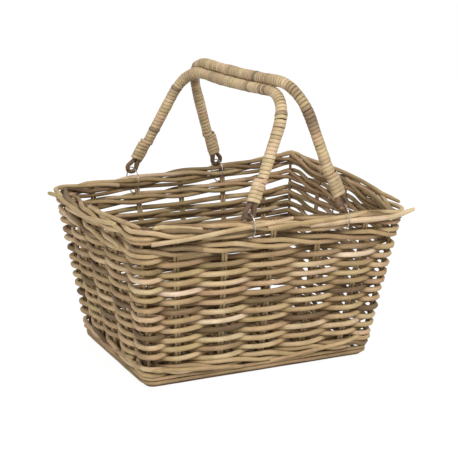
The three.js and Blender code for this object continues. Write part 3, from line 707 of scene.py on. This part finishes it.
baseStrands = [
    ([(18.6, 6, 7), (19.5, 2, 9), (20.4, -3, 9), (21.2, -8, 7)], (20, 1, -3), 0.4),
    ([(2.2, -9, 6), (3.1, -3, 8.5), (4.2, 4, 8)], (26, 4, 5), 0.5),
    ([(16.0, -7, 6.5), (17.0, -3, 8.5), (18.0, 4, 7)], (3, -24, 5), 0.36),
    ([(6.0, 6, 7), (7.0, -1, 9), (7.9, -7, 7)], (1, 22, -3), 0.44),
    ([(10.4, -8, 6.5), (11.6, -2, 9), (12.8, 5, 7)], (-24, -3, 4), 0.38),
]
addRope("baseWale", baseWaleMiddle, wall["baseWale"], 31, baseRope, baseStrands)
addRope("lowerWale", lowerWaleMiddle, wall["border"], 32, borderRope)
addRope("borderRod", borderMiddle, wall["border"], 33, borderRope, laidStrands)

# Single rods round the wall at one height, with their reach out of the stake line given at each station.
# The two ends of a rod meet at the station given as its join
single = {
    "samples": 12, "outKnots": 40, "knots": 30, "radiusKnots": 50, "toneWander": 0.12, "thickWander": 0.03,
    "sections": 12, "paintedShadeFrom": 3.0, "away": 1.0, "underShare": 0.93,
}


def addSingle(name, height, outValues, diameter, tone, seed, unevenness, join, slot="border"):
    rng = np.random.default_rng(seed)
    count, knots = stationCount * single["samples"], single["knots"]
    station = np.linspace(join + butt, join + stationCount - butt, count)
    out = easeBetween(station, outValues) + wander(rng, count, single["outKnots"], unevenness / 2)
    z = height + wander(rng, count, knots, unevenness)
    tone = toneAlong(rng, count, tone, knots, single["toneWander"])
    radius = unevenAlong(rng, count, diameter / 2, single["radiusKnots"], single["thickWander"])
    material = footMatter if slot == "foot" else rattan
    addPiece(name, [wallRod(station, z, out, radius, tone, single)], material)


bandDiameter = (baseWaleMiddle - waleHalf - footHeight - 3 * gap) / 2
bandOut = np.full(stationCount, (wall["cornerStake"] + bandDiameter) / 2 + gap)
bandLow = footHeight + gap + bandDiameter / 2
bandHigh = bandLow + bandDiameter + gap
underDiameter = single["underShare"] * wall["border"]
inThenOut = np.where(np.arange(stationCount) % 2 == 0, -weaveReach, weaveReach)
addSingle("borderUnderRod", underRod, inThenOut, underDiameter, 0.5, 41, 0.12, 0)
addSingle("footBandLower", bandLow, bandOut, bandDiameter, 0.3, 42, 0.4, 10.6)
addSingle("footBandUpper", bandHigh, bandOut, bandDiameter, 0.42, 43, 0.5, 7.4)
addSingle("footRod", footHeight / 2, np.zeros(stationCount), footHeight, 0.2, 44, 0.05, 12.5, "foot")
print("ropes and border made")

# Stakes: long U rods in pairs, and one upright in each corner
stakes = {
    "bend": 4, "topDepth": 2, "wallPoints": 24, "floorPoints": 30,
    "tones": (0.34, 0.6), "toneWander": 0.06, "knots": 12,
    "cornerPoints": 40, "cornerTone": 0.3, "cornerWander": 0.08, "cornerPaintedShade": 0.3,
}
stakeTop = wall["height"] - stakes["topDepth"]
pairHalf = (wall["stake"] + gap) / 2


def sidePoint(side, step, z, along):
    point = placeOnSide(np.array([side]), np.array([step]), np.array([float(z)]), np.zeros(1))[0]
    return np.append(point + forwardOf[side] * along, z)


# Down one wall, round a short bend, along under the floor and up the opposite wall
def stakeLine(side, opposite, step, along, run):
    halves, bendSize = [], stakes["bend"]
    for wallSide, sign in ((side, 1), (opposite, -1)):
        top = warp(sidePoint(wallSide, sign * step, stakeTop, sign * along)[None])[0]
        bend = sidePoint(wallSide, sign * step, run, sign * along)
        rising = bend + unit(top - bend) * bendSize
        running = bend - np.append(outwardOf[wallSide], 0) * bendSize
        halves.append(np.array([top, rising, (rising + running) / 4 + bend / 2, running]))
    first, second = halves
    down = straight(first[0], first[1], stakes["wallPoints"])
    under = straight(first[3], second[3], stakes["floorPoints"])
    up = straight(second[1], second[0], stakes["wallPoints"])
    return np.vstack([down, first[2:3], under, second[2:3], up])


def addStakes(title, side, opposite, run, seed):
    rng = np.random.default_rng(seed)
    reference = np.append(forwardOf[side], 0)
    pairs = wall["longPairs"] if side % 2 == 0 else wall["shortPairs"]
    for number in range(pairs):
        for letter, along in (("a", -pairHalf), ("b", pairHalf)):
            line = stakeLine(side, opposite, number - (pairs - 1) / 2, along, run)
            tone = rng.uniform(*stakes["tones"])
            tone = toneAlong(rng, len(line), tone, stakes["knots"], stakes["toneWander"])
            rod = tube(line, stakeRadius, reference, tone=tone)
            addPiece(f"{title}{number + 1}{letter}", [rod], stakeMatter)


def addCornerStake(side, place):
    count = stakes["cornerPoints"]
    z = np.linspace(footHeight + gap, stakeTop, count)
    xy = placeOnCorner(np.full(count, side), np.full(count, 0.5), z, np.zeros(count))
    rng = np.random.default_rng(60 + side)
    tone = toneAlong(rng, count, stakes["cornerTone"], stakes["knots"], stakes["cornerWander"])
    # The corner upright carries a share of painted shade
    upright = tube(warp(np.column_stack([xy, z])), wall["cornerStake"] / 2, (1, 0, 0), tone=tone,
                   paintedShade=stakes["cornerPaintedShade"])
    addPiece(f"cornerStake{side + 1}", [upright], stakeMatter, node=f"corner_stake_{place}")


addStakes("crossStake", 0, 2, crossRun, 51)
addStakes("lengthStake", 3, 1, lengthRun, 52)
for side, place in enumerate(("front_right", "back_right", "back_left", "front_left")):
    addCornerStake(side, place)
print("stakes made")

# Floor: two sticks, and four rods that go over and under the length stakes. The rods keep clear of the pairs
# of cross stakes, and share out each bay between two pairs
floor = {
    "rod": 6, "pitch": 6.6, "bendAllowance": 1.3, "wide": 1.06, "unevenness": 0.06, "wander": 0.3,
    "perStretch": 5, "tone": 0.4, "toneWander": 0.14, "knots": 60, "paintedShade": 0.5, "lean": 0.02,
    "stickPoints": 30, "stickTone": 0.3,
}
floorRadius = floor["rod"] / 2
floorEdge = wall["baseWale"] + stakeRadius + 2 * gap + wall["bendAllowance"] + floorRadius
baseLengthHalf, baseWidthHalf = halfSizes(0)
turnReach = floorRadius + stakeRadius + gap
stickY = baseWidthHalf - floorEdge - turnReach
lastPass = baseLengthHalf - floorEdge
floorLift = stakeRadius + floorRadius + gap + floor["bendAllowance"]
pairClear = pairHalf + stakeRadius + gap + floorRadius
pairX = [(k - 2) / 2 * wall["longShare"] * halfSizes(crossRun)[0] for k in range(5)]
bays = zip([-lastPass] + [x + pairClear for x in pairX], [x - pairClear for x in pairX] + [lastPass])
passes = np.concatenate([
    np.linspace(start, end, math.floor((end - start) / floor["pitch"]) + 1) for start, end in bays
])
shortPlace = wall["shortShare"] * halfSizes(lengthRun)[1]
crossings = np.array([-stickY, -shortPlace, 0, shortPlace, stickY])


# Back and forth between the sticks, over one length stake and under the next
def floorLine(first, last):
    line = []
    for i in range(first, last + 1):
        forth = i % 2 == 0
        for k, y in enumerate(crossings if forth else crossings[::-1]):
            lift = floorLift if (k % 2 == 1) == forth else -floorLift
            line.append((passes[i], y, lengthRun + lift))
        if i < last:
            turnY = (1 if forth else -1) * (stickY + turnReach)
            endsOver = line[-1][2] > lengthRun
            spots = [(i, 1), (i + 1, 1)]
            spots.insert(2 if endsOver else 0, (i + 1 if endsOver else i, -1))
            line += [(passes[p], turnY, lengthRun + level * floorRadius) for p, level in spots]
    return np.array(line)


def addFloor():
    ends = [round(len(passes) * i / 4) for i in range(5)]
    knots = floor["knots"]
    for i in range(4):
        line = smoothLine(floorLine(ends[i], ends[i + 1] - 1), floor["perStretch"])
        count, rng = len(line), np.random.default_rng(70 + i)
        line[:, 0] += wander(rng, count, count // 8, floor["wander"])
        tone = toneAlong(rng, count, floor["tone"], knots, floor["toneWander"])
        wide = unevenAlong(rng, count, floorRadius * floor["wide"], knots, floor["unevenness"])
        # Half the painted shade all along: the floor lies in the basket's shade
        reference, paintedShade = (1, 0, floor["lean"]), floor["paintedShade"]
        rod = tube(line, wide, reference, across=floorRadius, tone=tone, paintedShade=paintedShade)
        addPiece(f"floorWeaver{i + 1}", [rod], rattan)
    for sign, place in ((-1, "Front"), (1, "Back")):
        end = np.array([lastPass + floorRadius, 0, 0])
        middle = np.array([0, sign * stickY, lengthRun])
        line = straight(middle - end, middle + end, floor["stickPoints"])
        stick = tube(line, stakeRadius, upWay, tone=floor["stickTone"], paintedShade=floor["paintedShade"])
        addPiece(f"floorStick{place}", [stick], stakeMatter)


addFloor()
print("floor made")

# Bails, each in its own plane: v from the back eye to the front eye, u up its legs, w across. The eyes stand
# a skew to either side of the bail's middle, which is placed from a pair of stakes. A cane's end is thinned,
# bent into an eye and doubled back as a tail, which lies close to the leg by a share of its offset
bail = {
    "skew": 20.2, "outsidePair": 5.6, "insidePair": 9.2, "firstHeight": 173, "firstLean": 25.8,
    "restDirection": 57, "shoulders": (141, 150), "shifts": (-2, 2), "bend": 60, "sag": 5.5,
    "legPoints": 20, "arcPoints": 24, "barPoints": 16, "step": 5.0, "thickFrom": 7,
    "cane": 11.6, "binding": 1.9, "eyeRises": (11.8, 11.4), "eyeHole": 8, "eyeRod": 6.6, "thinned": 8.8,
    "eyeWrap": 0.17, "eyePoints": 22, "endPoints": 8, "tail": 43, "close": 0.68,
    "lashingStart": 14, "lashingTurns": 6, "lashingPitch": 5, "peelWidth": 4.2,
    "tone": 0.5, "toneWander": 0.15, "knots": 60,
}
rimLengthHalf, rimWidthHalf = halfSizes(wall["height"])
pairAtRim = wall["longShare"] * rimLengthHalf / 2
bailMiddles = (bail["skew"] - pairAtRim - bail["outsidePair"], bail["skew"] + pairAtRim - bail["insidePair"])
lashingTop = bail["lashingStart"] + bail["lashingPitch"] * bail["lashingTurns"]
bindingStart = lashingTop + bail["peelWidth"] / 2 + gap
coreRadius = bail["cane"] / 2 + gap
bindingRadius = coreRadius + bail["binding"]
legOffset = (bail["thinned"] + bail["eyeRod"] + 2 * gap) / 4


def bailFrame(number, inwardSign, lean):
    middleX, z = bailMiddles[number], wall["height"] + bail["eyeRises"][number]
    back, front = (np.array([middleX - sign * bail["skew"], sign * rimWidthHalf, z]) for sign in (1, -1))
    v = unit(front - back)
    inward = unit(np.cross(v, upWay) * -inwardSign)
    return {
        "u": upWay * math.cos(lean) + inward * math.sin(lean), "v": v,
        "w": inward * math.cos(lean) - upWay * math.sin(lean),
        "origin": (back + front) / 2, "foot": np.linalg.norm(front - back) / 2,
        "shoulder": bail["shoulders"][number], "shift": bail["shifts"][number],
    }


def inBail(place, w, v, u):
    return reachOut(place["origin"], (w, place["w"]), (v, place["v"]), (u, place["u"]))


# How far along v the bar sits: nearly over the middle of the basket
def barShift(place, height):
    return place["shift"] - height * place["u"][1] / place["v"][1]


# Half of a bail's middle line: a straight leg, an arc and half of the bar, all let down by a parabola
def bailHalf(place, height, legStart, sign):
    shift, bend, foot = sign * barShift(place, height), bail["bend"], np.array([place["foot"], 0])
    corner = np.array([place["shoulder"] + shift, height])
    legWay, barWay = unit(foot - corner), np.array([-1.0, 0.0])
    opening = math.acos(legWay @ barWay)
    centre = corner + unit(legWay + barWay) * bend / math.sin(opening / 2)
    legEnd, barEnd = (corner + way * bend / math.tan(opening / 2) for way in (legWay, barWay))
    start, end = (math.atan2(*(point - centre)[::-1]) for point in (legEnd, barEnd))
    angle = np.linspace(start, end, bail["arcPoints"])
    arc = centre + bend * np.column_stack([np.cos(angle), np.sin(angle)])
    leg = straight(foot - legWay * legStart, legEnd, bail["legPoints"], endpoint=False)
    bar = straight(barEnd, np.array([shift, height]), bail["barPoints"])[1:]
    flat = np.vstack([leg, arc, bar])
    sag = bail["sag"] * np.maximum(0, 1 - ((flat[:, 0] - shift) / place["shoulder"]) ** 2)
    return inBail(place, np.full(len(flat), legOffset), sign * flat[:, 0], flat[:, 1] - sag)


def bailLine(place, height, legStart, step):
    backHalf, frontHalf = (bailHalf(place, height, legStart, sign) for sign in (-1, 1))
    return evenly(np.vstack([backHalf, frontHalf[::-1][1:]]), step)


# The second bail rests on the first: its bar lies one thickness away in a given direction
def restingBail(first):
    cosSkew = rimWidthHalf / first["foot"]
    lean, rest = math.radians(bail["firstLean"]), math.radians(bail["restDirection"])
    barHeight, apart = bail["firstHeight"] - bail["sag"], 2 * bindingRadius + gap
    between = (bailMiddles[1] - bailMiddles[0]) * cosSkew
    across = barHeight * math.sin(lean) + legOffset * math.cos(lean) + apart * math.cos(rest)
    rise = barHeight * math.cos(lean) - legOffset * math.sin(lean) + apart * math.sin(rest)
    toX, toY = between - across, rise + bail["eyeRises"][0] - bail["eyeRises"][1]
    reach = math.sqrt(toX * toX + toY * toY - legOffset ** 2)
    return reach + bail["sag"], math.atan2(toX, toY) - math.atan2(legOffset, reach)


# The peel binding: a flat band on a helix, which starts a little under the lashing. Its place and radius
# wander from turn to turn, and its radius also over several turns. Some turns are knots, raised and darker,
# and the bar is darker than the legs
winding = {
    "pitch": 5.6, "under": 1.4, "step": 2.0, "perTurn": 22, "squareness": 3.4,
    "placeWander": 0.2, "radiusWander": 0.16, "swellTurns": 5, "swell": 0.36,
    "knotShare": 0.05, "knotLift": 0.45, "knotDip": 0.4,
    "tone": 0.5, "barDip": 0.11, "barPower": 6, "toneTurns": 7, "toneWander": 0.14, "turnTone": 0.1,
}


def addPeel(name, body, points, radial, tone, thickness, squareness):
    section = roundSection(power=squareness)
    band = tube(points, thickness / 2, radial, section, winding["pitch"] / 2, tone)
    addPiece(name, [band], peelMatter, body)


def addBinding(title, body, line, w, seed):
    rng, pitch, thickness = np.random.default_rng(seed), winding["pitch"], bail["binding"]
    turnCount = (travelled(line)[-1] - pitch) / pitch
    whole, count = int(turnCount), int(turnCount * winding["perTurn"])
    turn = np.linspace(0, turnCount, count)
    at = pitch / 2 + turn * pitch + wander(rng, count, whole, winding["placeWander"])
    centre, angle = readLine(line, at), 2 * math.pi * turn
    across = np.cross(unit(np.gradient(centre, axis=0)), w)
    radial = np.cos(angle)[:, None] * w + np.sin(angle)[:, None] * across
    radius = coreRadius + thickness / 2 + wander(rng, count, whole, winding["radiusWander"])
    radius = radius + wander(rng, count, int(turnCount / winding["swellTurns"]), winding["swell"])
    isKnot = (rng.random(whole + 2) < winding["knotShare"])[turn.astype(int)]
    radius = radius + np.where(isKnot, winding["knotLift"], 0)
    inBar = np.sin(math.pi * turn / turnCount) ** winding["barPower"]
    tone = winding["tone"] - winding["barDip"] * inBar - np.where(isKnot, winding["knotDip"], 0)
    tone = tone + wander(rng, count, max(3, int(turnCount / winding["toneTurns"])), winding["toneWander"])
    tone = toneAlong(rng, count, tone, whole, winding["turnTone"])
    points = centre + radial * radius[:, None]
    addPeel(title + "Binding", body, points, radial, tone, thickness, winding["squareness"])


# The tail, the eye and the start of the leg at one end of a bail, with the radius at each point
def bailEnd(place, height, sign):
    hinge = inBail(place, 0.0, sign * place["foot"], 0.0)
    leg = unit(inBail(place, 0.0, sign * place["shoulder"] + barShift(place, height), height) - hinge)
    few, eyeRadius = bail["endPoints"], (bail["eyeHole"] + bail["eyeRod"]) / 2
    neck = bail["lashingStart"] - bail["peelWidth"] / 2
    angle = np.linspace(math.pi - bail["eyeWrap"], 2 * math.pi + bail["eyeWrap"], bail["eyePoints"])
    tail, start = np.linspace(bail["tail"], neck, few), np.linspace(neck, bindingStart - gap, few)
    tailSide, legSide = np.full(few, -legOffset * bail["close"]), np.full(few, legOffset)
    across = np.concatenate([tailSide, eyeRadius * np.cos(angle), legSide])
    along = np.concatenate([tail, eyeRadius * np.sin(angle), start])
    isLeg = np.arange(len(along)) >= few + len(angle)
    return {"points": reachOut(hinge, (across, place["w"]), (along, leg)), "hinge": hinge, "leg": leg,
            "radii": np.where(isLeg, bail["thinned"], bail["eyeRod"]) / 2}


# A lashing: peel wound on a helix round the leg and its tail, on a stadium of two arcs and two flats. Over
# its blend it closes into a circle round the leg alone, sinks a little into the binding and covers its start
lashing = {
    "thickness": 1.5, "perTurn": 40, "clear": 0.75, "cover": 1.5, "blend": 5, "sink": 0.5, "flatness": 2.6,
    "squareness": 2.8, "riseWander": 0.15, "reachWander": 0.12, "tone": 0.5, "toneWander": 0.12,
}


def addLashing(title, body, w, end, seed):
    rng, across, start = np.random.default_rng(seed), unit(np.cross(end["leg"], w)), bail["lashingStart"]
    top, thickness = bindingStart + lashing["cover"], lashing["thickness"]
    turnCount = int((top - start) / winding["pitch"])
    count = turnCount * lashing["perTurn"]
    angle = np.linspace(0, 2 * math.pi * turnCount, count)
    height = start + (top - start) * angle / angle[-1] + wander(rng, count, turnCount, lashing["riseWander"])
    closing = 1 - nearing(-height, lashing["blend"] - top, lashing["blend"])
    tight = (bail["thinned"] + thickness) / 2 + lashing["clear"]
    reach = tight + (bindingRadius - lashing["sink"] - tight) * closing
    reach = reach + wander(rng, count, turnCount, lashing["reachWander"])
    stadium = np.clip(lashing["flatness"] * np.cos(angle), -bail["close"], 1)
    aside = reach * np.cos(angle) + legOffset * (stadium * (1 - closing) + closing)
    points = reachOut(end["hinge"], (aside, w), (reach * np.sin(angle), across), (height, end["leg"]))
    radial = unit(reachOut(0, (np.cos(angle), w), (np.sin(angle), across)))
    tone = toneAlong(rng, count, lashing["tone"], turnCount * 2, lashing["toneWander"])
    addPeel(title + "Lashing", body, points, radial, tone, thickness, lashing["squareness"])


# A wire ring: a circle from the middle of the eye to the slot under the border, with a fine slit in it
ring = {"wire": 1.8, "slit": 0.02, "points": 72, "corners": 8}


def addRing(title, v, hinge):
    low = hinge + v * (math.copysign(halfSizes(slotMiddle)[1], hinge[1]) - hinge[1]) / v[1]
    low[2] = slotMiddle - wall["ringSlot"] / 2 - wall["ringSink"] + ring["wire"] / 2
    low = warp(low[None])[0]
    rising = unit(hinge - low)
    level = unit(v - rising * (v @ rising))
    radius = np.linalg.norm(hinge - low) / 2
    angle = np.linspace(ring["slit"], 2 * math.pi - ring["slit"], ring["points"])
    points = reachOut((hinge + low) / 2, (radius * np.cos(angle), level), (radius * np.sin(angle), rising))
    rod = tube(points, ring["wire"] / 2, np.cross(rising, level), roundSection(ring["corners"]))
    addPiece(title + "Ring", [rod], wireMatter, nodeName(title + "Ring"))


def addBail(title, place, height, number):
    body, w = f"bail_{number}", place["w"]
    back, front = (bailEnd(place, height, sign) for sign in (-1, 1))
    middle = bailLine(place, height, bindingStart + bail["thickFrom"], bail["step"])
    points = np.vstack([back["points"], middle, front["points"][::-1]])
    radii = np.concatenate([back["radii"], np.full(len(middle), bail["cane"] / 2), front["radii"][::-1]])
    line, rng = smoothLine(points, 2), np.random.default_rng(80 + number)
    radii = np.interp(np.linspace(0, 1, len(line)), np.linspace(0, 1, len(points)), radii)
    tone = toneAlong(rng, len(line), bail["tone"], bail["knots"], bail["toneWander"])
    addPiece(title + "Cane", [tube(line, radii, w, tone=tone)], caneMatter, body)
    wound = bailLine(place, height, bindingStart - winding["under"], winding["step"])
    addBinding(title, body, wound, w, 90 + number)
    for isFront, name, end in ((0, "Back", back), (1, "Front", front)):
        addLashing(title + name, body, w, end, 100 + number * 2 + isFront)
        addRing(title + name, place["v"], end["hinge"])


firstBail = bailFrame(0, 1, math.radians(bail["firstLean"]))
secondHeight, secondLean = restingBail(firstBail)
addBail("bail1", firstBail, bail["firstHeight"], 1)
addBail("bail2", bailFrame(1, -1, secondLean), secondHeight, 2)
print("bails made")

# The ground: plain and pale, white to the camera except for the soft shadow and the dark under the basket,
# which shows through its holes only. The dark lies within two half sizes and fades over a centimetre
stage = {
    "color": (0.9, 0.9, 0.9, 1), "roughness": 0.9, "glow": 1.08, "glowShare": 0.86,
    "dark": (0.165, 0.117), "fade": (100.0, 0.5), "half": 6.0, "level": -0.0004,
}


def makeStage():
    material, tree, shader = newTree("paleFloor")
    fill(tree, shader.inputs["Base Color"], stage["color"])
    fill(tree, shader.inputs["Roughness"], stage["roughness"])
    glow = addNode(tree, "Emission", {"Strength": stage["glow"]}).outputs[0]
    split = addNode(tree, "SeparateXYZ", {0: addNode(tree, "TexCoord").outputs["Object"]}).outputs
    past = [mathOn(tree, "SUBTRACT", mathOn(tree, "ABSOLUTE", split[i]), stage["dark"][i]) for i in (0, 1)]
    outside = mathOn(tree, "MULTIPLY_ADD", mathOn(tree, "MAXIMUM", *past), *stage["fade"])
    isSeen = addNode(tree, "LightPath").outputs["Is Camera Ray"]
    share = mathOn(tree, "MULTIPLY", isSeen, mathOn(tree, "MULTIPLY", outside, stage["glowShare"]))
    mix = addNode(tree, "MixShader", {"Fac": share, 1: shader.outputs[0], 2: glow}).outputs[0]
    tree.links.new(mix, tree.nodes["Material Output"].inputs["Surface"])
    mesh, half, level = bpy.data.meshes.new("stageFloor"), stage["half"], stage["level"]
    corners = [(x * half, y * half, level) for x, y in ((-1, -1), (1, -1), (1, 1), (-1, 1))]
    mesh.from_pydata(corners, [], [(0, 1, 2, 3)])
    ground = bpy.data.objects.new("stageFloor", mesh)
    scene.collection.objects.link(ground)
    ground.data.materials.append(material)


def addLamp(name, azimuth, elevation, distance, size, power, color):
    data = bpy.data.lights.new(name, "AREA")
    data.shape, data.size, data.energy, data.color = "DISK", size, power, color
    standOff(name, data, (0, 0, 0.2), azimuth, elevation, distance)


# White to the camera and in reflections, and of a given strength as light
def makeWorld(strength):
    world = bpy.data.worlds.new("studio")
    scene.world, world.use_nodes = world, True
    tree = world.node_tree
    path = addNode(tree, "LightPath").outputs
    isSeen = mathOn(tree, "MAXIMUM", path["Is Camera Ray"], path["Is Glossy Ray"])
    level = addNode(tree, "MapRange", {"Value": isSeen, "To Min": strength, "To Max": 1.0}).outputs["Result"]
    background = tree.nodes["Background"].inputs
    fill(tree, background["Color"], (1, 1, 1, 1))
    fill(tree, background["Strength"], level)


makeStage()
makeWorld(strength=0.55)
addLamp("keyLamp", azimuth=12, elevation=48, distance=2.6, size=1.4, power=56, color=(1.0, 0.98, 0.95))
addLamp("fillLamp", azimuth=-75, elevation=25, distance=2.8, size=1.8, power=31, color=(0.99, 0.99, 1.0))
scene.view_settings.view_transform = "Standard"

print("stage made")
